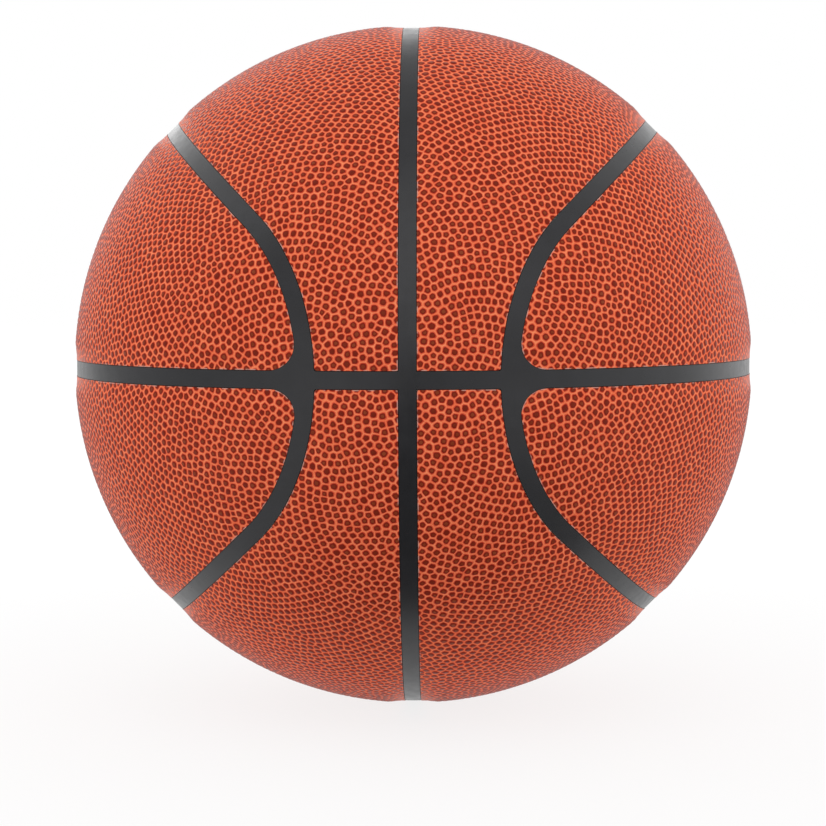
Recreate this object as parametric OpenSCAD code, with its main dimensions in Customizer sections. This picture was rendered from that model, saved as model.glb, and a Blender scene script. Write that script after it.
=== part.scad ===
// A full-size basketball: eight cover panels on foam backings, a rubber carcass whose ribs fill the
// seams, a wound nylon layer, a bladder, and a valve in the seams at the back of the ball.
// The origin is the centre of the ball, +Z is up, +X is to the right and -Y is the front.
// Every seam lies on a circle round the centre: an upright one and a level one that cross at the
// front and the back, and on each side an oval of two long arcs and two round ends that run on
// into each other.

/* [Ball] */
// Radius over the crests of the cover panels
ball_r = 121; // [114:0.5:125]
// Width of the black strip between two panels
seam_w = 5.4; // [4:0.1:6.4]
// Angle at which an oval's long arcs stand above and below the level seam
oval_tilt = 45; // [42:1:50]
// Angle from the side of the ball to the middle of an oval's round end
cap_lead = 45; // [40:1:50]

/* [Cover panels] */
// Thickness of a cover panel at its crest
cover_t = 1.5; // [1.3:0.1:2]
// Thickness that is left at a panel's rolled edge
cover_edge_t = 0.8; // [0.6:0.05:0.9]
// Distance from the middle of a seam at which the panel starts to roll down
roll_w = 9; // [8:0.2:12]
// Angle at which the roll leaves the crest
roll_angle = 2; // [1:0.5:4]
// Glue gap between a panel's edge and the rib beside it
panel_gap = 0.15; // [0.1:0.05:0.3]
// Radius of the corners that the side panels have at the level seam
corner_r = 9.5; // [4:0.5:12]
// Radius of the corners that the centre panels have beside them
centre_corner_r = 1; // [0.6:0.1:2]

/* [Layers] */
// Thickness of the foam backing under each panel
foam_t = 1.2; // [0.8:0.1:2]
// Thickness of the carcass under the foam
carcass_t = 1.1; // [0.8:0.1:2]
// How far the ribs lie under the panels' edges
rib_set_back = 0.1; // [0:0.05:0.2]
// Thickness of the nylon winding
winding_t = 0.6; // [0.4:0.1:1]
// Thickness of the bladder
bladder_t = 0.8; // [0.6:0.1:1.2]

/* [Valve] */
// Radius of the round pad that the ribs form round the valve
pad_r = 8; // [7:0.5:12]
// Radius of the valve housing's tube
housing_r = 5; // [4.4:0.2:6]
// Length of the valve housing
housing_h = 19; // [17:0.5:24]
// How far the valve housing stands out of the pad
housing_proud = 0.2; // [0:0.05:0.4]
// Radius of the flange that is bonded inside the bladder
flange_r = 12; // [9:0.5:16]
// Thickness of that flange
flange_t = 1.2; // [0.8:0.1:2]
// Glue gap between the flange and the bladder
flange_gap = 0.1; // [0.05:0.05:0.2]
// Radius of the valve core's head
core_head_r = 3.2; // [2.9:0.1:3.8]
// Height of the valve core's head
core_head_h = 2.4; // [1.5:0.1:4]
// Radius of the valve core's stem
core_stem_r = 2.4; // [2:0.1:2.6]
// Length of the valve core
core_h = 15; // [14:0.5:16]
// How far the core's head lies under the housing's rim
core_sink = 0.5; // [0.2:0.1:1]
// Radius of the air passage in the housing under the core
passage_r = 1.5; // [1:0.1:1.8]
// Radius of the inflating needle's channel
needle_r = 1.15; // [1:0.05:1.3]
// Length of that channel's straight wall
needle_h = 12; // [8:0.5:12]
// Depth of the cone that leads the needle in
lead_in_h = 0.6; // [0.3:0.1:0.8]

/* [Hidden] */
$fn = 144;

// Overrun of every cut
over = 1;
// How far a round end's sweep reaches into the long arc's, and how much nearer to the oval's
// middle it stands, so that no two faces lie on each other
lap = 1;
hair = 0.03;
// Half-size of a block that holds the whole ball
whole = 2 * ball_r;
// Angle that a section beside a long arc reaches away from it, to run past the level seam
past_level = 7;
sweep_reach = oval_tilt + past_level;

// Radii at which one layer meets the next, from the outside in
edge_r = ball_r - cover_t + cover_edge_t;
rib_r = edge_r - rib_set_back;
foam_r = ball_r - cover_t;
carcass_r = foam_r - foam_t;
winding_r = carcass_r - carcass_t;
bladder_r = winding_r - winding_t;
inside_r = bladder_r - bladder_t;

// Distance from the middle of a seam to the rib's side, and to the panel's edge
rib_side = seam_w / 2;
panel_side = rib_side + panel_gap;

// An oval's long arcs lie on planes through the front and the back of the ball. The round ends
// meet them without a corner when their radius is what the centres' distance leaves of 90 degrees.
centres_angle = acos(cos(cap_lead) * sin(oval_tilt));
cap_polar = 90 - centres_angle;
long_half_angle = acos(cos(cap_lead) * cos(oval_tilt) / sin(centres_angle));
cap_half_angle = acos(sin(cap_lead) * sin(oval_tilt) / sin(centres_angle));
// Angle from a round end's middle that its plug covers
plug_share = 0.6;
plug_polar = plug_share * cap_polar;
lap_angle = asin(lap / (ball_r * sin(cap_polar)));
hair_angle = asin(hair / ball_r);

// The roll of a panel's edge is an arc from its edge point to its crest point, drawn beside a seam
// that runs along +X. It leaves the crest at roll_angle.
roll_edge = [sqrt(edge_r ^ 2 - panel_side ^ 2), panel_side];
roll_crest = [sqrt(ball_r ^ 2 - roll_w ^ 2), roll_w];
roll_chord = roll_crest - roll_edge;
crest_angle = asin(roll_w / ball_r) - roll_angle;
crest_normal = [cos(crest_angle), sin(crest_angle)];
roll_r = roll_chord * roll_chord / (2 * roll_chord * crest_normal);
roll_centre = roll_crest - roll_r * crest_normal;

// Heights over the centre of the ball of the valve's rim, its core's head and its flange
rim_y = rib_r + housing_proud;
head_y = rim_y - core_sink;
flange_top_r = inside_r - flange_gap;

cover_colour = "#C25A34";
foam_colour = "#E8DCC0";
rubber_colour = "#34383B";
winding_colour = "#D8D8CC";
bladder_colour = "#1E1E20";
core_colour = "#4A4D50";

// What the roll takes off beside a seam along +X, from the seam to just past the crest point
module roll_waste() {
    difference() {
        translate([carcass_r, 0]) square([ball_r + over - carcass_r, roll_w + over]);
        translate(roll_centre) circle(roll_r);
    }
}

// The ring that rolls the panels' edges on both sides of a seam all round the ball, about +Z
module roll_ring() {
    rotate_extrude()
        difference() {
            union() {
                roll_waste();
                mirror([0, 1]) roll_waste();
            }
            translate(roll_centre) circle(roll_r);
            mirror([0, 1]) translate(roll_centre) circle(roll_r);
        }
}

module ring(r_in, r_out) {
    difference() {
        circle(r_out);
        circle(r_in);
    }
}

// The section of what a seam along +X cuts from a panel on its +Y side: its strip, and what lies
// on the other side of it as far as reach
module cut_section(side, r_in, r_out, rolled, reach = sweep_reach) {
    intersection() {
        ring(r_in - over, r_out + over);
        polygon([[0, side], [whole, side], [whole, -whole * tan(reach)], [0, 0]]);
    }
    if (rolled) roll_waste();
}

// Turns what is drawn round +Z to stand square to the plane of the upper right oval's long arc.
// +X then points up and out along that plane, and +Y points forward.
module at_long_arc() {
    rotate([180, -oval_tilt, 0]) children();
}

// Turns what is drawn round +Z to stand round the middle of the front round end, where +X then
// points forward along the level seam and +Y points down
module at_round_end() {
    rotate([-90, 0, -90 - cap_lead]) children();
}

// The cut along the upper half of the front round end, for the panel inside the oval
module round_end_cut(side, r_in, r_out, rolled) {
    at_round_end()
        rotate([0, 0, -cap_half_angle])
            rotate_extrude(angle = cap_half_angle + long_half_angle)
                rotate(90 - cap_polar + hair_angle)
                    cut_section(side, r_in, r_out, rolled);
}

// The cut inside the front round end, for the panel outside the oval. Its middle is a plug, so
// that nothing is swept round from the axis itself.
module round_end_hole(side, r_in, r_out, rolled) {
    at_round_end() {
        rotate([0, 0, -cap_half_angle - lap_angle])
            rotate_extrude(angle = cap_half_angle + lap_angle + long_half_angle)
                rotate(90 - cap_polar + hair_angle)
                    mirror([0, 1])
                        cut_section(side, r_in, r_out, rolled, cap_polar - plug_polar / 2);
        cylinder(r = ball_r * sin(plug_polar), h = whole);
    }
}

// The cut inside the long arc
module long_arc_hole(side, r_in, r_out, rolled) {
    at_long_arc()
        rotate([0, 0, -long_half_angle])
            rotate_extrude(angle = 2 * long_half_angle)
                mirror([0, 1]) cut_section(side, r_in, r_out, rolled);
}

// What rounds a panel's corner between the front round end and the level seam, to a radius of r.
// The way is 1 for the panel inside the oval and -1 for the one outside it. The axis runs from
// the centre of the ball through the middle of the rounding.
module corner_cut(way, r, side, r_in, r_out) {
    reach = rib_side + r;
    inset_angle = asin(reach / (ball_r + over));
    polar = cap_polar - way * inset_angle;
    azimuth = -asin(sin(inset_angle) / sin(polar));
    down = [cos(polar) * sin(azimuth), cos(azimuth)];
    at_round_end()
        rotate([0, polar, azimuth])
            translate([0, 0, r_in - over])
                linear_extrude(r_out - r_in + 2 * over)
                    difference() {
                        polygon([[0, 0], [way * reach, 0], [way * reach, reach], reach * down]);
                        circle(reach - side);
                    }
}

// The layer of the upper right side panel, inside the oval and above the level seam
module side_layer(side, r_in, r_out, rolled = false) {
    difference() {
        intersection() {
            shell(r_in, r_out, turn = 180);
            translate([0, -whole, side]) cube([whole, 2 * whole, whole]);
            at_long_arc() translate([-whole, -whole, side]) cube([2 * whole, 2 * whole, whole]);
        }
        if (rolled) {
            roll_ring();
            at_long_arc() roll_ring();
        }
        round_end_cut(side, r_in, r_out, rolled);
        mirror([0, 1, 0]) round_end_cut(side, r_in, r_out, rolled);
        corner_cut(1, corner_r, side, r_in, r_out);
        mirror([0, 1, 0]) corner_cut(1, corner_r, side, r_in, r_out);
    }
}

// The layer of the upper right centre panel, between the upright seam and the oval
module centre_layer(side, r_in, r_out, rolled = false) {
    difference() {
        intersection() {
            shell(r_in, r_out, turn = 180);
            translate([side, -whole, side]) cube([whole, 2 * whole, whole]);
        }
        long_arc_hole(side, r_in, r_out, rolled);
        round_end_hole(side, r_in, r_out, rolled);
        mirror([0, 1, 0]) round_end_hole(side, r_in, r_out, rolled);
        corner_cut(-1, centre_corner_r, side, r_in, r_out);
        mirror([0, 1, 0]) corner_cut(-1, centre_corner_r, side, r_in, r_out);
        at_valve() cylinder(r = pad_r + side - rib_side, h = whole);
        if (rolled) {
            roll_ring();
            rotate([0, 90, 0]) roll_ring();
        }
    }
}

// Turns the upper right quarter into another one
module quarter(right, upper) {
    mirror([right ? 0 : 1, 0, 0])
        mirror([0, 0, upper ? 0 : 1])
            children();
}

// What is drawn round +Z stands round the valve's axis, which points out of the back
module at_valve() {
    rotate([-90, 0, 0]) children();
}

// A hollow ball. The line from pole to pole where its round surfaces close is turned by turn about
// +Z, to lie where nothing cuts across it.
module shell(r_in, r_out, turn = 0) {
    rotate([0, 0, turn])
        difference() {
            sphere(r_out);
            sphere(r_in);
        }
}

module valve_hole() {
    at_valve() cylinder(r = housing_r, h = whole);
}

// A pebbled cover panel, rolled down to thin edges
module side_panel(right, upper) {
    color(cover_colour)
        quarter(right, upper) side_layer(panel_side, foam_r, ball_r, rolled = true);
}

module centre_panel(right, upper) {
    color(cover_colour)
        quarter(right, upper) centre_layer(panel_side, foam_r, ball_r, rolled = true);
}

// The foam that backs each panel, from rib to rib
module side_foam(right, upper) {
    color(foam_colour)
        quarter(right, upper) side_layer(panel_side, carcass_r, foam_r);
}

module centre_foam(right, upper) {
    color(foam_colour)
        quarter(right, upper) centre_layer(panel_side, carcass_r, foam_r);
}

// The moulded rubber carcass: a shell with ribs and a round pad, left where the eight pockets
// for the foam and the panels are sunk into it
module carcass() {
    color(rubber_colour)
        difference() {
            shell(winding_r, rib_r, turn = -90);
            for (right = [true, false], upper = [true, false])
                quarter(right, upper) {
                    side_layer(rib_side, carcass_r, rib_r + over);
                    centre_layer(rib_side, carcass_r, rib_r + over);
                }
            valve_hole();
        }
}

// The nylon thread wound round the bladder, as one closed layer
module nylon_winding() {
    color(winding_colour)
        difference() {
            shell(bladder_r, winding_r);
            valve_hole();
        }
}

module bladder() {
    color(bladder_colour)
        difference() {
            shell(inside_r, bladder_r);
            valve_hole();
        }
}

// The valve housing: a tube through every layer, with a flange bonded to the bladder's inside. It
// is open at both ends, and the core closes it.
module valve_housing() {
    color(rubber_colour)
        at_valve()
            rotate_extrude()
                difference() {
                    union() {
                        translate([0, rim_y - housing_h]) square([housing_r, housing_h]);
                        intersection() {
                            ring(flange_top_r - flange_t, flange_top_r);
                            square([flange_r, whole]);
                        }
                    }
                    core_outline();
                    translate([0, head_y]) square([core_head_r, whole]);
                    square([passage_r, head_y]);
                }
}

// Half of the valve core's outline: a wide head on a stem
module core_outline() {
    translate([0, head_y - core_h]) square([core_stem_r, core_h]);
    translate([0, head_y - core_head_h]) square([core_head_r, core_head_h]);
}

// The soft valve core, pressed into the housing. The needle's channel ends in the closed lips
// that seal the ball.
module valve_core() {
    color(core_colour)
        at_valve()
            rotate_extrude()
                difference() {
                    core_outline();
                    translate([0, head_y - lead_in_h - needle_h])
                        square([needle_r, whole]);
                    polygon([
                        [0, head_y - lead_in_h],
                        [needle_r, head_y - lead_in_h],
                        [needle_r + lead_in_h + over, head_y + over],
                        [0, head_y + over]
                    ]);
                }
}

side_panel(true, true);  // side_panel_upper_right
side_panel(false, true);  // side_panel_upper_left
side_panel(true, false);  // side_panel_lower_right
side_panel(false, false);  // side_panel_lower_left
centre_panel(true, true);  // centre_panel_upper_right
centre_panel(false, true);  // centre_panel_upper_left
centre_panel(true, false);  // centre_panel_lower_right
centre_panel(false, false);  // centre_panel_lower_left
side_foam(true, true);  // side_foam_upper_right
side_foam(false, true);  // side_foam_upper_left
side_foam(true, false);  // side_foam_lower_right
side_foam(false, false);  // side_foam_lower_left
centre_foam(true, true);  // centre_foam_upper_right
centre_foam(false, true);  // centre_foam_upper_left
centre_foam(true, false);  // centre_foam_lower_right
centre_foam(false, false);  // centre_foam_lower_left
carcass();
nylon_winding();
bladder();
valve_housing();
valve_core();
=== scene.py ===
"""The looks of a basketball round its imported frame: eight panels with raised pebbles, the black rubber
of the seams, and the valve at the back. The frame's axes: +Z up, +X right, -Y front, origin in the
middle of the ball. Lengths are in millimetres unless a comment says otherwise."""

import math

import bpy
import numpy as np
from mathutils import Matrix, Vector
from mathutils.geometry import delaunay_2d_cdt


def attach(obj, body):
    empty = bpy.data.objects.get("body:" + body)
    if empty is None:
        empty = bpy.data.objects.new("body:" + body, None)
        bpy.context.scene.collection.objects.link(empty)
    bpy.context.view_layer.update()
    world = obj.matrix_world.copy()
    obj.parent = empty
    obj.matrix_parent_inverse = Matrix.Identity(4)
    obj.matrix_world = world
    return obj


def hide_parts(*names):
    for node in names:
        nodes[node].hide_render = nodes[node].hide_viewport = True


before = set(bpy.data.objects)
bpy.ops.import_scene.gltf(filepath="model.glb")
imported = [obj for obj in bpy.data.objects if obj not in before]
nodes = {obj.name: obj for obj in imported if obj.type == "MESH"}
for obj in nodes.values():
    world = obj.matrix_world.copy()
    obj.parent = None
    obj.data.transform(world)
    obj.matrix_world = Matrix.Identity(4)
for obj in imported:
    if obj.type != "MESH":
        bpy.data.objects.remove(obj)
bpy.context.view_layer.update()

MM = 0.001
SIDES = {"upper": 1, "lower": -1, "right": 1, "left": -1}

# The ball, with the sizes of the solids: the radius of the panels' crests, the cover's thickness, and
# the gap round each panel
CREST_R = 121.0
COVER_T = 1.5
PANEL_GAP = 0.15
# From the middle of a seam, and from the middle of the valve, to a panel's edge
PANEL_SIDE = 2.7 + PANEL_GAP
PAD_EDGE = 8 + PANEL_GAP
# The radii of the panels' corners at the level seam
SIDE_CORNER_R = 9.5 - PANEL_GAP
CENTRE_CORNER_R = 1 - PANEL_GAP
# The oval's seam by the upper right panels: its round end lies on a cone of this half angle round
# CAP_MIDDLE, and its long arc on the plane across LONG_NORMAL, as far as LONG_HALF_ANGLE from LONG_UP
CAP_POLAR = math.radians(30)
CAP_MIDDLE = np.array([1, 1, 0]) / math.sqrt(2)
LONG_NORMAL = np.array([1, 0, -1]) / math.sqrt(2)
LONG_UP = np.array([1, 0, 1]) / math.sqrt(2)
LONG_HALF_ANGLE = math.atan(math.sqrt(2))

# How the panels' edges come down: the drop at the edge, how far from the middle of the seam the rise to
# the crest starts, and how wide it is
EDGE_DROP = 0.68
ROLL_START = 3.6
ROLL_WIDTH = 6.0

# The pebbles: the area in mm2 that each takes, how far it strays as a share of their pitch, and the
# rounds in which they draw even again
PEBBLE_AREA = 6.2
PEBBLE_JITTER = 0.15
EVENING_ROUNDS = 6
# The height of a pebble on the crest and at a panel's edge
PEBBLE_H = 0.24
EDGE_PEBBLE_H = 0.07
# The rings of a pebble, its foot and its shoulder: how far out in the cell, how high up the pebble, and
# how round in place of the cell's own outline
FOOT_OUT, FOOT_UP = 0.76, 0.14
SHOULDER_OUT, SHOULDER_UP = 0.46, 0.84
FOOT_CORNER_ROUNDNESS, FOOT_MIDDLE_ROUNDNESS, SHOULDER_ROUNDNESS = 0.55, 0.35, 0.7
# How widths and heights vary from pebble to pebble
WIDTH_SHARES = (0.93, 1.07)
HEIGHT_SHARES = (0.9, 1.0)
PEBBLE_SEED = 11
TINT_SEED = 5
# The map of the ball has its hole at the valve. The angles from the valve's middle within which there
# is no pebble, within which none is moved, and within which cells are open. All lie on the valve's pad.
HOLE = math.radians(1.2)
HELD = math.radians(3)
OPEN_CELLS = math.radians(3.2)

# For the triangulation: how near to each other places count as one, and whether it gives all triangles
# or those inside the outline
MERGED_WITHIN = 1e-9
ALL_TRIANGLES, INSIDE_TRIANGLES = 0, 1
# The way by which to turn round a cell's middle, and by which to lay a panel's underside flat. Any will
# do that no middle lies on.
CELL_UP = (0.31, 0.17, 0.93)
UNDER_UP = (0.2, 0.1, 0.97)

# A place this near to a panel's edge counts as on it
SNAP = 0.02
# How far past a panel's edge pebbles are kept until they are cut
PAST_EDGE = 8
# The pitch of the places in the middle of a panel's underside
UNDER_PITCH = 7.0
# An edge between two triangles that bends more than this looks sharp
SHARP_ANGLE = math.radians(48)

# The UV map: each panel is cut across at these angles in degrees along it, and each part lies flat as
# seen from its own middle. The row of the middles leans off the seam that the panel runs along.
SIDE_CUTS = (-34, 0, 34)
SIDE_MIDDLES = (-52, -17, 17, 52)
SIDE_LEAN = math.pi / 8
CENTRE_CUTS = (45, 90, 135)
CENTRE_MIDDLES = (24, 67, 113, 156)
CENTRE_LEAN = math.radians(21)
UV_MARGIN = 1.02


def unit(v):
    return v / np.linalg.norm(v, axis=-1, keepdims=True)


def smooth(t):
    t = np.clip(t, 0, 1)
    return t * t * (3 - 2 * t)


def arc(sine):
    """The length along the ball of the angle with that sine."""
    return CREST_R * np.arcsin(np.clip(sine, -1, 1))


def flat_map(p):
    """The stereographic map from the valve, which turns circles on the ball into circles."""
    return p[:, [0, 2]] / (1 - p[:, 1:2])


def triangles_of(points):
    """The triangles between points on the unit ball, and the middles of their circles."""
    flat = [Vector(x) for x in flat_map(points).tolist()]
    tri = np.array(delaunay_2d_cdt(flat, [], [], ALL_TRIANGLES, MERGED_WITHIN, False)[2])
    a, b, c = (points[tri[:, k]] for k in range(3))
    middles = np.cross(b - a, c - a)
    middles *= np.sign((middles * a).sum(1))[:, None]
    return tri, unit(middles)


def even_scatter(area):
    """Points on the unit ball along a spiral, each with that area of the real ball round it."""
    count = int(4 * math.pi * CREST_R ** 2 / area)
    k = np.arange(count) + 0.5
    height = 1 - 2 * k / count
    turn = k * math.pi * (3 - math.sqrt(5))
    across = np.sqrt(1 - height ** 2)
    return np.stack([across * np.cos(turn), height, across * np.sin(turn)], 1)


def pebble_middles(rng):
    """The scattered middles of the pebbles on the unit ball, all but round the valve."""
    points = even_scatter(PEBBLE_AREA)
    pitch = math.sqrt(PEBBLE_AREA) / CREST_R
    points = unit(points + rng.normal(0, PEBBLE_JITTER * pitch, points.shape))
    points = points[points[:, 1] < math.cos(HOLE)]
    for _ in range(EVENING_ROUNDS):
        tri, middles = triangles_of(points)
        total = np.stack([np.bincount(tri.ravel(), np.repeat(middles[:, k], 3), len(points))
                          for k in range(3)], 1)
        held = points[:, 1] > math.cos(HELD)
        points = np.where(held[:, None], points, unit(total))
    return points


def cell_corners(points):
    """The corners of the cells round the pebbles' middles, one row for each corner of each cell, in
    turn round the cell: the cell, the corner, and the row of the cell's next corner. Also gives the
    corners' places and how many each cell has."""
    tri, places = triangles_of(points)
    cell = tri.ravel()
    corner = np.repeat(np.arange(len(tri)), 3)
    east = unit(np.cross(points, CELL_UP))
    north = np.cross(points, east)
    offset = places[corner]
    angle = np.arctan2((offset * north[cell]).sum(1), (offset * east[cell]).sum(1))
    order = np.lexsort((angle, cell))
    cell, corner = cell[order], corner[order]
    first = np.searchsorted(cell, np.arange(len(points)))
    count = np.bincount(cell, minlength=len(points))
    after = np.arange(1, len(cell) + 1)
    after[first + count - 1] = first
    return cell, corner, after, places, count


def edge_middles_of(corner, after, places):
    """The middles of the edges between the cells' corners, and the one that each row leads over."""
    a, b = corner, corner[after]
    key = np.minimum(a, b) * len(places) + np.maximum(a, b)
    keys, edge = np.unique(key, return_inverse=True)
    ends = np.stack([keys // len(places), keys % len(places)], 1)
    return unit(places[ends].sum(1)), edge


def pebble_faces(cell, corner, after, edge, starts):
    """The triangles of each row's part of its cell, from the outline up to the pebble's top. starts
    tells where the vertices of each ring begin, after those of the cells' corners."""
    edge_start, foot_start, foot_middle_start, shoulder_start, top_start = starts
    row = np.arange(len(cell))
    # of each ring, what lies at the row's corner (a), at the edge middle after it (m), at the next (b)
    outer_a, outer_m, outer_b = corner, edge + edge_start, corner[after]
    foot_a, foot_m, foot_b = row + foot_start, row + foot_middle_start, after + foot_start
    shoulder_a, shoulder_b = row + shoulder_start, after + shoulder_start
    top = cell + top_start
    return [(outer_a, outer_m, foot_m), (outer_a, foot_m, foot_a),
            (outer_m, outer_b, foot_m), (outer_b, foot_b, foot_m),
            (foot_a, foot_m, shoulder_a), (foot_m, shoulder_b, shoulder_a),
            (foot_m, foot_b, shoulder_b), (shoulder_a, shoulder_b, top)]


def pebble_mesh(points, rng):
    """One mesh of all pebbles on the unit ball. Round each middle lie the corners and edge middles of
    its cell, a ring at the pebble's foot and one at its shoulder. Returns the places, the heights as a
    share, how far out each vertex lies in its cell, the triangles and each triangle's cell."""
    cell, corner, after, corners, count = cell_corners(points)
    edge_middles, edge = edge_middles_of(corner, after, corners)
    corner_at, middle_at = corners[corner], edge_middles[edge]
    count = np.maximum(count, 1)
    total = np.stack([np.bincount(cell, corner_at[:, k], len(points)) for k in range(3)], 1)
    tops = unit(total / count[:, None])
    own_top = tops[cell]
    inner = np.bincount(cell, np.linalg.norm(middle_at - own_top, axis=1), len(points)) / count
    inner = inner[cell]

    def pulled(at, share, roundness):
        out = at - own_top
        length = np.linalg.norm(out, axis=1)
        radius = share * (length * (1 - roundness) + inner * roundness)
        return unit(own_top + out * (radius / length)[:, None])

    width = rng.uniform(*WIDTH_SHARES, len(points))[cell]
    tall = rng.uniform(*HEIGHT_SHARES, len(points))
    rings = [corners, edge_middles,
             pulled(corner_at, FOOT_OUT * width, FOOT_CORNER_ROUNDNESS),
             pulled(middle_at, FOOT_OUT * width, FOOT_MIDDLE_ROUNDNESS),
             pulled(corner_at, SHOULDER_OUT * width, SHOULDER_ROUNDNESS), tops]
    places = np.concatenate(rings)
    n_outer, n_row = len(corners) + len(edge_middles), len(cell)
    height = np.concatenate([np.zeros(n_outer), np.full(2 * n_row, FOOT_UP), SHOULDER_UP * tall[cell], tall])
    out = np.concatenate([np.ones(n_outer), np.full(2 * n_row, FOOT_OUT), np.full(n_row, SHOULDER_OUT),
                          np.zeros(len(points))])

    faces = pebble_faces(cell, corner, after, edge, np.cumsum([len(ring) for ring in rings[:-1]]))
    # the cells at the hole in the map are open and are left out
    whole = points[cell, 1] < math.cos(OPEN_CELLS)
    owner = np.tile(cell[whole], len(faces))
    faces = np.concatenate([np.stack(f, 1)[whole] for f in faces])
    a, b, c = (places[faces[:, k]] for k in range(3))
    inward = (np.cross(b - a, c - a) * a).sum(1) < 0
    faces[inward] = faces[inward][:, ::-1]
    return places, height, out, faces, owner


def oval_inside(q):
    """How far inside the upper right oval each place lies, along the ball."""
    y = np.abs(q[:, 1])
    along = np.arctan2(y, q @ LONG_UP)
    on_long = arc(q @ LONG_NORMAL)
    mirrored = np.stack([q[:, 0], y, q[:, 2]], 1)
    on_cap = CREST_R * (CAP_POLAR - np.arccos(np.clip(mirrored @ CAP_MIDDLE, -1, 1)))
    return np.where(along <= LONG_HALF_ANGLE, on_long, on_cap)


def rounded(a, b, radius):
    """The lesser of two distances, with the corner between the two edges rounded."""
    both = (a < radius) & (b < radius)
    return np.where(both, radius - np.hypot(radius - a, radius - b), np.minimum(a, b))


def edge_distance(kind, q):
    """How far inside its panel's edge each place lies, for the upper right panel of that kind."""
    level = arc(q[:, 2]) - PANEL_SIDE
    oval = oval_inside(q)
    if kind == "side":
        return rounded(level, oval - PANEL_SIDE, SIDE_CORNER_R)
    pad = CREST_R * np.arccos(np.clip(q[:, 1], -1, 1)) - PAD_EDGE
    upright = arc(q[:, 0]) - PANEL_SIDE
    return np.minimum(np.minimum(upright, pad), rounded(level, -oval - PANEL_SIDE, CENTRE_CORNER_R))


def clipped(values, d, faces, owner):
    """The part of the triangles where d is positive. values is one row of numbers a vertex."""
    d = np.where(np.abs(d) < SNAP, 0.0, d)
    some = (d[faces] > 0).any(1)
    faces, owner = faces[some], owner[some]
    cut = (d[faces] < 0).any(1)
    whole, whole_owner = faces[~cut], owner[~cut]
    f, o = faces[cut], owner[cut]
    s = d[f]
    positive, negative = (s > 0).sum(1), (s < 0).sum(1)
    one, two = (positive == 1) & (negative == 2), positive == 2
    mixed = ~(one | two)
    # each cut triangle is turned so that its odd vertex comes first, which in a mixed one is on the edge
    first = np.where(one, (s > 0).argmax(1), np.where(two, (s < 0).argmax(1), (s == 0).argmax(1)))
    turned = (first[:, None] + np.arange(3)) % 3
    f = np.take_along_axis(f, turned, 1)
    n = len(values)
    new_keys = []

    def crossing(a, b):
        """A number for the place where the way from vertex a to vertex b leaves the panel."""
        new_keys.append(np.minimum(a, b) * n + np.maximum(a, b))
        return new_keys[-1]

    # each part gives the triangles' owners, their corners, and which corners are crossings
    parts = []
    a, b, c = f[one].T
    parts.append((o[one], (a, crossing(a, b), crossing(a, c)), (0, 1, 1)))
    a, b, c = f[two].T
    ab, ac = crossing(a, b), crossing(a, c)
    parts.append((o[two], (b, c, ab), (0, 0, 1)))
    parts.append((o[two], (c, ac, ab), (0, 1, 1)))
    a, b, c = f[mixed].T
    bc = crossing(b, c)
    b_in = d[b] > 0
    parts.append((o[mixed][b_in], (a[b_in], b[b_in], bc[b_in]), (0, 0, 1)))
    parts.append((o[mixed][~b_in], (a[~b_in], bc[~b_in], c[~b_in]), (0, 1, 0)))
    keys = np.unique(np.concatenate(new_keys))
    low, high = keys // n, keys % n
    share = (d[low] / (d[low] - d[high]))[:, None]
    values = np.concatenate([values, values[low] * (1 - share) + values[high] * share])
    d = np.concatenate([d, np.zeros(len(keys))])
    made, made_owner = [whole], [whole_owner]
    for owners, ends, new in parts:
        made.append(np.stack([n + np.searchsorted(keys, x) if is_new else x
                              for x, is_new in zip(ends, new)], 1))
        made_owner.append(owners)
    faces, owner = np.concatenate(made), np.concatenate(made_owner)
    good = real_triangles(faces)
    used, faces = np.unique(faces[good], return_inverse=True)
    return values[used], d[used], faces.reshape(-1, 3), owner[good]


def real_triangles(faces):
    """Which triangles have three different corners."""
    return (faces[:, 0] != faces[:, 1]) & (faces[:, 1] != faces[:, 2]) & (faces[:, 0] != faces[:, 2])


def rim_edges(faces):
    """The directed edges that only one triangle has."""
    edges = np.concatenate([faces[:, [0, 1]], faces[:, [1, 2]], faces[:, [2, 0]]])
    key = np.sort(edges, 1) @ [faces.max() + 1, 1]
    _, back, count = np.unique(key, return_inverse=True, return_counts=True)
    return edges[count[back] == 1]


def under_faces(rim_places, rim, inside):
    """Triangles that close the panel's underside: rim_places and its edges, and some places inside."""
    middle = unit(rim_places.mean(0))
    east = unit(np.cross(middle, UNDER_UP))
    north = np.cross(middle, east)
    places = np.concatenate([rim_places, inside])
    flat = np.stack([places @ east, places @ north], 1) / (1 + places @ middle)[:, None]
    at, _, tri, origins = delaunay_2d_cdt([Vector(x) for x in flat.tolist()], rim.tolist(), [],
                                          INSIDE_TRIANGLES, MERGED_WITHIN, True)[:4]
    # where two rim edges all but touch, the map gains a place, which stands for its nearest neighbour
    index = np.array([o[0] if o else np.square(flat - np.array(p)).sum(1).argmin()
                      for o, p in zip(origins, at)])
    tri = index[np.array([f for f in tri if len(f) == 3])]
    tri = tri[real_triangles(tri)]
    a, b, c = (places[tri[:, k]] for k in range(3))
    outward = (np.cross(b - a, c - a) * a).sum(1) > 0
    tri[outward] = tri[outward][:, ::-1]
    return tri


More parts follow.
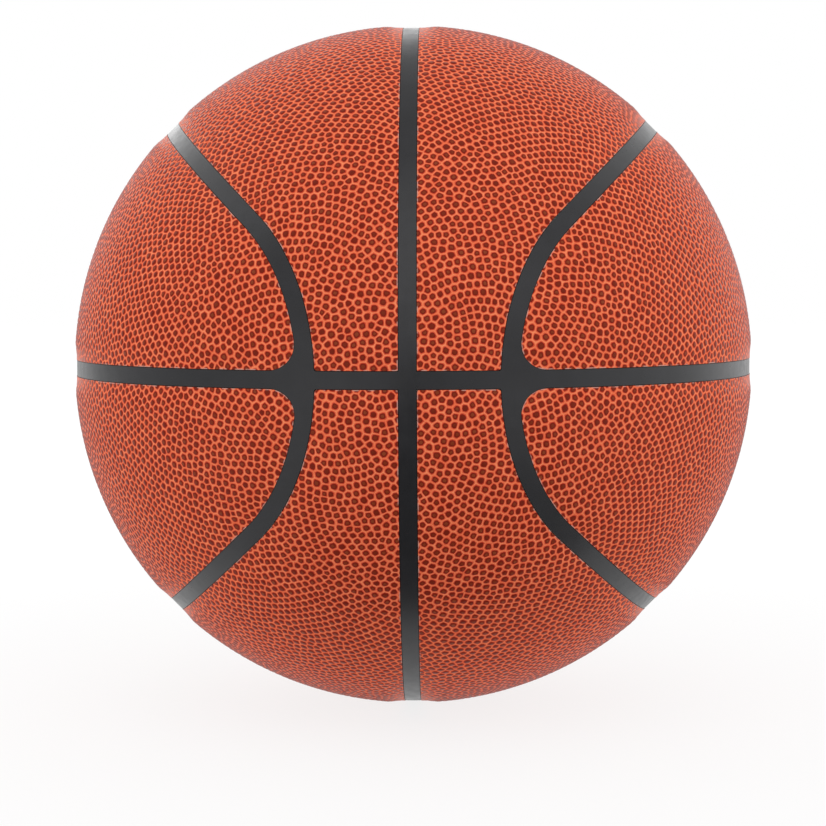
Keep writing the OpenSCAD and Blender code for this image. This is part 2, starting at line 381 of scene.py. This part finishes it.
def part_axes(kind):
    """For each of the panel's four parts, its middle and the way along the panel."""
    at = np.radians(np.array(SIDE_MIDDLES if kind == "side" else CENTRE_MIDDLES))
    if kind == "side":
        axis = np.stack([np.cos(at) * math.cos(SIDE_LEAN), np.sin(at), np.cos(at) * math.sin(SIDE_LEAN)], 1)
        along = np.stack([-np.sin(at) * math.cos(SIDE_LEAN), np.cos(at),
                          -np.sin(at) * math.sin(SIDE_LEAN)], 1)
        return axis, along
    axis = np.stack([np.full(4, math.sin(CENTRE_LEAN)), -np.cos(at) * math.cos(CENTRE_LEAN),
                     np.sin(at) * math.cos(CENTRE_LEAN)], 1)
    return axis, np.stack([np.zeros(4), np.sin(at), np.cos(at)], 1)


def four_part_map(kind, places, faces):
    """UV places for each corner of each triangle. The panel is cut across into four, and each part
    lies flat in its own quarter of the map."""
    middle = places[faces].mean(1)
    if kind == "side":
        part = np.digitize(np.degrees(np.arcsin(np.clip(middle[:, 1], -1, 1))), SIDE_CUTS)
    else:
        part = np.digitize(np.degrees(np.arctan2(middle[:, 2], -middle[:, 1])), CENTRE_CUTS)
    axis, along = part_axes(kind)
    across = np.cross(axis, along)
    p = places[faces]
    bend = np.sqrt(2 / (1 + (p * axis[part][:, None]).sum(2)))
    uv = np.stack([(p * way[part][:, None]).sum(2) * bend for way in (along, across)], 2)
    for k in range(4):
        here = uv[part == k]
        uv[part == k] = here - (here.min((0, 1)) + here.max((0, 1))) / 2
    span = np.abs(uv).max() * 2 * UV_MARGIN
    quarter = np.stack([part % 2, part // 2], 1)[:, None] * 0.5
    return uv / span * 0.5 + 0.25 + quarter


def new_object(name, places, faces, materials, face_slots):
    me = bpy.data.meshes.new(name)
    me.vertices.add(len(places))
    me.vertices.foreach_set("co", places.astype(np.float32).ravel())
    me.loops.add(faces.size)
    me.loops.foreach_set("vertex_index", faces.astype(np.int32).ravel())
    me.polygons.add(len(faces))
    me.polygons.foreach_set("loop_start", np.arange(0, faces.size, 3, dtype=np.int32))
    me.polygons.foreach_set("use_smooth", np.ones(len(faces), bool))
    for m in materials:
        me.materials.append(m)
    me.polygons.foreach_set("material_index", face_slots.astype(np.int32))
    me.update(calc_edges=True)
    ob = bpy.data.objects.new(name, me)
    bpy.context.scene.collection.objects.link(ob)
    return ob


def add_values(me, name, domain, values):
    """Gives each vertex or face of a mesh a number, which its material reads by that name."""
    me.attributes.new(name, "FLOAT", domain).data.foreach_set("value", values.astype(np.float32))


def panel_top(kind, sign, pebbles):
    """The pebbled top of a panel, as it would be at the upper right: unit places, radii, how far out
    each vertex lies in its cell and how far from the panel's edge, the triangles and their cells."""
    places, height, out, faces, owner = pebbles
    q = places * sign
    d = edge_distance(kind, q)
    use = (d > -PAST_EDGE)[faces].all(1)
    used, faces = np.unique(faces[use], return_inverse=True)
    values = np.concatenate([q[used], height[used][:, None], out[used][:, None]], 1)
    values, d, faces, owner = clipped(values, d[used], faces.reshape(-1, 3), owner[use])
    top = unit(values[:, :3])
    d = np.maximum(np.where(d > 0, edge_distance(kind, top), 0), 0)
    risen = smooth((d + PANEL_SIDE - ROLL_START) / ROLL_WIDTH)
    pebble_h = EDGE_PEBBLE_H + (PEBBLE_H - EDGE_PEBBLE_H) * risen
    radius = CREST_R - EDGE_DROP * (1 - risen) - pebble_h * (1 - values[:, 3])
    return top, radius, values[:, 4], d, faces, owner


def cover_panel(kind, upper, right, pebbles, tint, materials):
    """A pebbled panel over its CAD node: the rolled and pebbled top, its cut edge and its underside."""
    sign = np.array([SIDES[right], 1, SIDES[upper]])
    top, radius, out, from_edge, faces, owner = panel_top(kind, sign, pebbles)
    rim = rim_edges(faces)
    rim_at, local = np.unique(rim, return_inverse=True)
    local = local.reshape(-1, 2)
    lattice = even_scatter(UNDER_PITCH ** 2)
    lattice = lattice[edge_distance(kind, lattice) > UNDER_PITCH / 3]
    under = under_faces(top[rim_at], local, lattice)
    under_places = np.concatenate([top[rim_at], lattice])
    n = len(top)
    lower = n + local
    wall = np.concatenate([np.stack([rim[:, 1], rim[:, 0], lower[:, 0]], 1),
                           np.stack([rim[:, 1], lower[:, 0], lower[:, 1]], 1)])
    places = np.concatenate([top * radius[:, None], under_places * (CREST_R - COVER_T)])
    all_faces = np.concatenate([faces, wall, under + n])
    slots = np.repeat([0, 1, 2], [len(faces), len(wall), len(under)])
    uv = four_part_map(kind, unit(places), all_faces)
    if sign[0] * sign[2] < 0:
        all_faces = all_faces[:, ::-1]
        uv = uv[:, ::-1]
    ob = new_object(f"cover_{kind}_{upper}_{right}", places * sign * MM, all_faces, materials, slots)
    me = ob.data
    n_under, n_plain = len(under_places), len(wall) + len(under)
    add_values(me, "out", "POINT", np.concatenate([out, np.ones(n_under)]))
    add_values(me, "from_edge", "POINT", np.concatenate([from_edge, np.zeros(n_under)]))
    add_values(me, "tint", "FACE", np.concatenate([tint[owner], np.zeros(n_plain)]))
    me.uv_layers.new(name="OFBake").uv.foreach_set("vector", uv.astype(np.float32).ravel())
    me.set_sharp_from_angle(angle=SHARP_ANGLE)
    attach(ob, "root")
    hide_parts(f"{kind}_panel_{upper}_{right}")


# Materials

# Colours are linear, a noise's scale is in cells a metre, and a bump's distance is in metres. A noise
# changes its colour over one of these spans of its values.
NOISE_SPAN = (0.35, 0.65)
WIDE_SPAN = (0.3, 0.7)

# The colours of a pebble from its tip outwards, and where each turns into the next, as shares of the
# way from the cell's middle to its edge. The rim, darker than the tip and the flank, is painted shade on
# the pebble's shoulder.
TIPS = ((0.270, 0.052, 0.018), (0.240, 0.036, 0.010), (0.180, 0.016, 0.005))
SHADED_RIM = (0.20, 0.012, 0.004)
FLANKS = ((0.59, 0.050, 0.022), (0.74, 0.100, 0.046))
NETS = ((0.92, 0.184, 0.074), (0.99, 0.272, 0.120))
TIP_TO_SHADED_RIM = (0.30, 0.48)
SHADED_RIM_TO_FLANK = (0.62, 0.75)
FLANK_TO_NET = (0.78, 0.94)
OUT_WANDER = 0.05
# Worn tips are smoother than the rest
TIP_ROUGHNESS = 0.30
NET_ROUGHNESS = 0.85
SMOOTH_TO_ROUGH = (0.5, 0.8)
# Raw fibre, and a dark line of painted shadow along the edge where the gap by the seam lies in shade. The
# bands say how far from a panel's edge each ends and, nearer, is full, and the specks are the values of a
# noise between which the fibre comes up. The cut edge's own wall is that painted shadow mottled with fibre
# darkened as painted shade.
FIBRE = (0.66, 0.34, 0.28)
FIBRE_BAND = (0.50, 0.20)
FIBRE_SPECKS = (0.50, 0.62)
GAP_SHADOW = (0.05, 0.012, 0.009)
GAP_SHADOW_BAND = (0.13, 0.05)
GAP_SHADOW_FIBRE = (0.14, 0.05, 0.04)

RUBBER_ROUGHNESS = (0.27, 0.36)
# The layers that show only a little or not at all: each material's two colours, the scale of its noise,
# its roughness, and the distance of its bump
PLAIN_LOOKS = {"foam_backing": ((0.74, 0.66, 0.50), (0.84, 0.78, 0.64), 900, 0.9, 0.0001),
               "nylon_thread": ((0.55, 0.55, 0.50), (0.80, 0.80, 0.76), 400, 0.7, 0.0001),
               "butyl_bladder": ((0.010, 0.010, 0.011), (0.016, 0.016, 0.018), 60, 0.45, 0.0),
               "valve_core_rubber": ((0.045, 0.047, 0.050), (0.060, 0.062, 0.065), 900, 0.5, 0.0)}


class Nodes:
    """Makes the nodes of a material or of the world by short calls."""

    def __init__(self, owner):
        self.owner = owner
        owner.use_nodes = True
        self.tree = owner.node_tree
        self.shader = self.tree.nodes.get("Principled BSDF")

    def node(self, kind, inputs=None, **settings):
        made = self.tree.nodes.new(kind)
        for key, value in settings.items():
            setattr(made, key, value)
        for key, value in (inputs or {}).items():
            self.put(made.inputs[key], value)
        return made

    def put(self, socket, value):
        if isinstance(value, bpy.types.NodeSocket):
            self.tree.links.new(value, socket)
        elif isinstance(value, tuple) and len(value) == 3 and socket.type == "RGBA":
            socket.default_value = (*value, 1)
        else:
            socket.default_value = value

    def attribute(self, name):
        return self.node("ShaderNodeAttribute", attribute_name=name).outputs["Fac"]

    def noise(self, scale, detail=2.0):
        place = self.node("ShaderNodeTexCoord").outputs["Object"]
        made = self.node("ShaderNodeTexNoise", {"Vector": place, "Scale": scale, "Detail": detail})
        return made.outputs["Fac"]

    def math(self, operation, a, b=0.0, c=0.0):
        return self.node("ShaderNodeMath", {0: a, 1: b, 2: c}, operation=operation).outputs[0]

    def ramp(self, value, *stops):
        made = self.node("ShaderNodeValToRGB", {"Fac": value})
        marks = made.color_ramp.elements
        for k, (at, colour) in enumerate(stops):
            mark = marks[k] if k < len(marks) else marks.new(at)
            mark.position = at
            mark.color = (*colour, 1)
        return made.outputs["Color"]

    def mottled(self, dark, light, scale, detail=3, span=NOISE_SPAN):
        """A noise between two colours."""
        return self.ramp(self.noise(scale, detail), (span[0], dark), (span[1], light))

    def level(self, value, low, high, to_low=0.0, to_high=1.0, kind="LINEAR"):
        made = self.node("ShaderNodeMapRange", {"Value": value, "From Min": low, "From Max": high,
                                                "To Min": to_low, "To Max": to_high},
                         interpolation_type=kind)
        return made.outputs["Result"]

    def mix(self, share, a, b):
        # sockets 0, 6 and 7 are the factor and the two colours
        made = self.node("ShaderNodeMix", data_type="RGBA")
        for socket, value in ((0, share), (6, a), (7, b)):
            self.put(made.inputs[socket], value)
        return made.outputs[2]

    def bump(self, height, strength, distance):
        return self.node("ShaderNodeBump", {"Height": height, "Strength": strength,
                                            "Distance": distance}).outputs["Normal"]

    def finish(self, colour, roughness, normal=None, **sockets):
        self.put(self.shader.inputs["Base Color"], colour)
        self.put(self.shader.inputs["Roughness"], roughness)
        if normal is not None:
            self.put(self.shader.inputs["Normal"], normal)
        for key, value in sockets.items():
            self.shader.inputs[key.replace("_", " ")].default_value = value
        return self.owner


def new_material(name):
    return Nodes(bpy.data.materials.new(name))


def cover_material():
    """Dark tips with a darker red rim round each, painted shade on the pebbles' shoulders, an orange net
    between them, and at the panel's cut edge a dark line of painted shadow, where the gap by the seam lies
    in shade, with pale flecks of raw fibre beside it."""
    n = new_material("pebbled_cover")
    wander = n.level(n.noise(scale=900), *WIDE_SPAN, -OUT_WANDER, OUT_WANDER)
    out = n.math("ADD", n.attribute("out"), wander)
    colour = n.ramp(n.attribute("tint"), *zip((0.0, 0.5, 1.0), TIPS))
    # a darker rim of painted shade on each pebble's shoulder
    colour = n.mix(n.level(out, *TIP_TO_SHADED_RIM), colour, SHADED_RIM)
    colour = n.mix(n.level(out, *SHADED_RIM_TO_FLANK), colour, n.mottled(*FLANKS, scale=520))
    colour = n.mix(n.level(out, *FLANK_TO_NET), colour, n.mottled(*NETS, scale=380))
    from_edge = n.attribute("from_edge")
    specks = n.level(n.noise(scale=420, detail=3), *FIBRE_SPECKS)
    colour = n.mix(n.math("MULTIPLY", n.level(from_edge, *FIBRE_BAND), specks), colour, FIBRE)
    # a dark line of painted shadow at the panel's edge, where the gap by the seam lies in shade
    colour = n.mix(n.level(from_edge, *GAP_SHADOW_BAND), colour, GAP_SHADOW)
    roughness = n.level(out, *SMOOTH_TO_ROUGH, TIP_ROUGHNESS, NET_ROUGHNESS)
    return n.finish(colour, roughness, Specular_IOR_Level=0.10, Sheen_Weight=1.0, Sheen_Roughness=0.26,
                    Sheen_Tint=(1.0, 0.54, 0.48, 1.0))


# The wall of the panel's cut edge, coloured as painted shadow of the gap with fibre darkened as painted
# shade
def shaded_edge_material():
    n = new_material("shaded_cut_edge")
    return n.finish(n.mottled(GAP_SHADOW, GAP_SHADOW_FIBRE, scale=700), roughness=0.8)


def backing_material():
    n = new_material("panel_backing")
    return n.finish(n.mottled((0.55, 0.50, 0.42), (0.68, 0.63, 0.54), scale=500), roughness=0.85)


def rubber_material():
    n = new_material("seam_rubber")
    colour = n.mottled((0.010, 0.010, 0.012), (0.014, 0.014, 0.017), scale=120, detail=4, span=WIDE_SPAN)
    normal = n.bump(n.noise(scale=2600), strength=0.25, distance=0.00004)
    roughness = n.level(n.noise(scale=300, detail=3), *WIDE_SPAN, *RUBBER_ROUGHNESS)
    return n.finish(colour, roughness, normal)


def plain_material(name, dark, light, scale, roughness, bump):
    """A material of two colours whose noise gives the bump too, where it has one."""
    n = new_material(name)
    pattern = n.noise(scale, detail=3)
    colour = n.ramp(pattern, (WIDE_SPAN[0], dark), (WIDE_SPAN[1], light))
    normal = n.bump(pattern, strength=0.5, distance=bump) if bump else None
    return n.finish(colour, roughness, normal)


def build_cover():
    rng = np.random.default_rng(PEBBLE_SEED)
    middles = pebble_middles(rng)
    pebbles = pebble_mesh(middles, rng)
    tint = np.random.default_rng(TINT_SEED).uniform(0, 1, len(middles))
    materials = [cover_material(), shaded_edge_material(), backing_material()]
    for kind in ("side", "centre"):
        for upper in ("upper", "lower"):
            for right in ("right", "left"):
                cover_panel(kind, upper, right, pebbles, tint, materials)


def finish_solids():
    """Gives each CAD node that stays its material. All but the named ones are foam."""
    rubber = rubber_material()
    plain = {name: plain_material(name, *look) for name, look in PLAIN_LOOKS.items()}
    named = {"carcass": rubber, "valve_housing": rubber, "nylon_winding": plain["nylon_thread"],
             "bladder": plain["butyl_bladder"], "valve_core": plain["valve_core_rubber"]}
    for name, node in nodes.items():
        if not node.hide_render:
            node.data.materials.clear()
            node.data.materials.append(named.get(name, plain["foam_backing"]))


# The studio

# Places and distances here are in metres, and directions need not be of length one.
# What the gloss reflects: a grey room with soft patches, each by its direction, the angles in degrees
# within which it is full and beyond which it ends, and what it adds. In turn: the white backdrop, a
# light above the camera, one above the left, one behind it, the bright right side and its back, the dim
# left side, a light in front at the left, and the dark place of the camera.
ROOM_GLOSS = 0.60
ROOM_PATCHES = (((0.0, 1.0, 0.0), 20, 52, 0.66),
                ((0.15, -0.78, 0.61), 14, 38, 0.72),
                ((-0.70, 0.05, 0.66), 18, 36, 0.68),
                ((-0.42, 0.85, 0.40), 10, 32, 1.00),
                ((0.95, 0.25, 0.0), 25, 62, 0.60),
                ((0.80, 0.60, 0.0), 10, 26, 0.75),
                ((-0.97, 0.10, 0.0), 15, 50, -0.30),
                ((-0.50, -0.86, 0.0), 10, 22, 0.32),
                ((0.18, -0.97, -0.12), 5, 17, -0.46))
# The even light, and what the white backdrop adds to it
ROOM_LIGHT = 0.73
LIGHT_PATCHES = (((0.0, 1.0, 0.0), 30, 100, 0.45),)

# The lamps' places and powers in watts
LAMP_SIZE = 1.6
LAMPS = (("top_softbox", (0.0, -1.1, 1.66), 5.4),
         ("left_softbox", (-1.7, -0.9, 0.5), 3.3),
         ("right_softbox", (1.7, -0.9, 0.5), 4))

FLOOR_HALF = 6.0
FLOOR_COLOUR = (0.82, 0.82, 0.82)
FLOOR_ROUGHNESS = 0.9
# The share of the floor's look that is its own white glow: as it lights the ball, and as the camera
# sees it at these two distances from the ball's middle
LIGHTING_GLOW = 0.4
GLOW_AT = (0.20, 0.60)
SEEN_GLOW = (0.80, 1.0)
FLOOR_WHITE = 1.04
# How bright the floor is to gloss, and how bright its strip toward the camera. The strip ends between
# these places along y, and between these distances to either side of its middle.
FLOOR_GLOSS = 0.90
DIM_GLOSS = 0.16
DIM_ENDS = (-0.112, -0.082)
DIM_MIDDLE = 0.03
DIM_SIDES = (0.05, 0.17)

# The camera: its distance in crest radii, its angles in degrees, how near and far it sees, its sensor in
# millimetres, and in pixels its frame, the radius of the ball's outline and the place of its middle
CAMERA_RADII = 6
CAMERA_ELEVATION, CAMERA_YAW, CAMERA_ROLL = 2.376, 0.865, -0.192
CLIP_START, CLIP_END = 0.01, 50
SENSOR_WIDTH = 36
FRAME_PX = 826
OUTLINE_PX = 338.6
BALL_X_PX, BALL_Y_PX = 413.3, 364.1


def area_light(name, place, power):
    """A soft lamp aimed at the ball, which lights it and leaves its gloss to the room."""
    data = bpy.data.lights.new(name, "AREA")
    data.shape = "DISK"
    data.size = LAMP_SIZE
    data.energy = power
    ob = bpy.data.objects.new(name, data)
    bpy.context.scene.collection.objects.link(ob)
    ob.location = place
    ob.rotation_mode = "QUATERNION"
    ob.rotation_quaternion = Vector(place).to_track_quat("Z", "Y")
    ob.visible_glossy = False
    ob.visible_camera = False


def studio_world():
    """White where the camera looks past the ball, the patched room for gloss, and an even light."""
    world = bpy.data.worlds.new("studio")
    bpy.context.scene.world = world
    world.cycles.sampling_method = "NONE"
    n = Nodes(world)
    n.tree.nodes.clear()
    rays = n.node("ShaderNodeLightPath").outputs
    toward = n.node("ShaderNodeTexCoord").outputs["Generated"]

    def patched(level, patches):
        for direction, full, end, change in patches:
            facing = n.node("ShaderNodeVectorMath", {0: toward, 1: Vector(direction).normalized()},
                            operation="DOT_PRODUCT").outputs["Value"]
            share = n.level(facing, math.cos(math.radians(end)), math.cos(math.radians(full)),
                            kind="SMOOTHSTEP")
            level = n.math("MULTIPLY_ADD", share, change, level)
        return level

    light = n.level(rays["Is Glossy Ray"], 0, 1, patched(ROOM_LIGHT, LIGHT_PATCHES),
                    patched(ROOM_GLOSS, ROOM_PATCHES))
    seen = n.math("MAXIMUM", rays["Is Camera Ray"], rays["Is Transmission Ray"])
    strength = n.level(seen, 0, 1, light, 1.0)
    background = n.node("ShaderNodeBackground", {"Color": (1.0, 1.0, 1.0), "Strength": strength})
    out = n.node("ShaderNodeOutputWorld")
    n.tree.links.new(background.outputs[0], out.inputs["Surface"])


def floor_material():
    """To the camera it is white but for the ball's shadow. It glows less on the ball itself, and to gloss
    it is white behind the ball and dim in front of it."""
    n = new_material("pale_floor")
    n.owner.cycles.emission_sampling = "NONE"
    n.put(n.shader.inputs["Base Color"], FLOOR_COLOUR)
    n.put(n.shader.inputs["Roughness"], FLOOR_ROUGHNESS)
    rays = n.node("ShaderNodeLightPath").outputs
    place = n.node("ShaderNodeTexCoord").outputs["Object"]
    x, y = n.node("ShaderNodeSeparateXYZ", {0: place}).outputs[:2]
    away = n.node("ShaderNodeVectorMath", {0: place}, operation="LENGTH").outputs["Value"]
    seen_glow = n.level(away, *GLOW_AT, *SEEN_GLOW, "SMOOTHSTEP")
    glow = n.level(rays["Is Camera Ray"], 0, 1, LIGHTING_GLOW, seen_glow)
    share = n.math("MAXIMUM", glow, rays["Is Glossy Ray"])
    aside = n.math("ABSOLUTE", n.math("SUBTRACT", x, DIM_MIDDLE))
    bright = n.math("MAXIMUM", n.level(aside, *DIM_SIDES), n.level(y, *DIM_ENDS))
    gloss = n.level(bright, 0, 1, DIM_GLOSS, FLOOR_GLOSS)
    strength = n.level(rays["Is Camera Ray"], 0, 1, gloss, FLOOR_WHITE)
    white = n.node("ShaderNodeEmission", {"Color": (1.0, 1.0, 1.0), "Strength": strength})
    mix = n.node("ShaderNodeMixShader", {"Fac": share, 1: n.shader.outputs[0], 2: white.outputs[0]})
    n.tree.links.new(mix.outputs[0], n.tree.nodes["Material Output"].inputs["Surface"])
    return n.owner


def pale_floor():
    me = bpy.data.meshes.new("floor")
    corners = ((-1, -1), (1, -1), (1, 1), (-1, 1))
    me.from_pydata([(x * FLOOR_HALF, y * FLOOR_HALF, -CREST_R * MM) for x, y in corners], [],
                   [(0, 1, 2, 3)])
    ob = bpy.data.objects.new("floor", me)
    bpy.context.scene.collection.objects.link(ob)
    me.materials.append(floor_material())


def photo_camera():
    """A little above the level seam, with the ball above the picture's middle."""
    elevation, yaw, roll = (math.radians(x) for x in (CAMERA_ELEVATION, CAMERA_YAW, CAMERA_ROLL))
    back = Vector((math.sin(yaw) * math.cos(elevation), -math.cos(yaw) * math.cos(elevation),
                   math.sin(elevation)))
    level = Vector((math.cos(yaw), math.sin(yaw), 0))
    rise = back.cross(level)
    right = level * math.cos(roll) + rise * math.sin(roll)
    up = back.cross(right)
    data = bpy.data.cameras.new("camera")
    data.sensor_width = SENSOR_WIDTH
    data.lens = OUTLINE_PX * math.sqrt(CAMERA_RADII ** 2 - 1) / FRAME_PX * SENSOR_WIDTH
    data.shift_x = (FRAME_PX / 2 - BALL_X_PX) / FRAME_PX
    data.shift_y = (BALL_Y_PX - FRAME_PX / 2) / FRAME_PX
    data.clip_start, data.clip_end = CLIP_START, CLIP_END
    ob = bpy.data.objects.new("camera", data)
    bpy.context.scene.collection.objects.link(ob)
    ob.matrix_world = Matrix((right, up, back)).transposed().to_4x4()
    ob.location = back * (CAMERA_RADII * CREST_R * MM)
    bpy.context.scene.camera = ob


build_cover()
finish_solids()
studio_world()
pale_floor()
photo_camera()
for lamp in LAMPS:
    area_light(*lamp)
bpy.context.scene.view_settings.view_transform = "Standard"
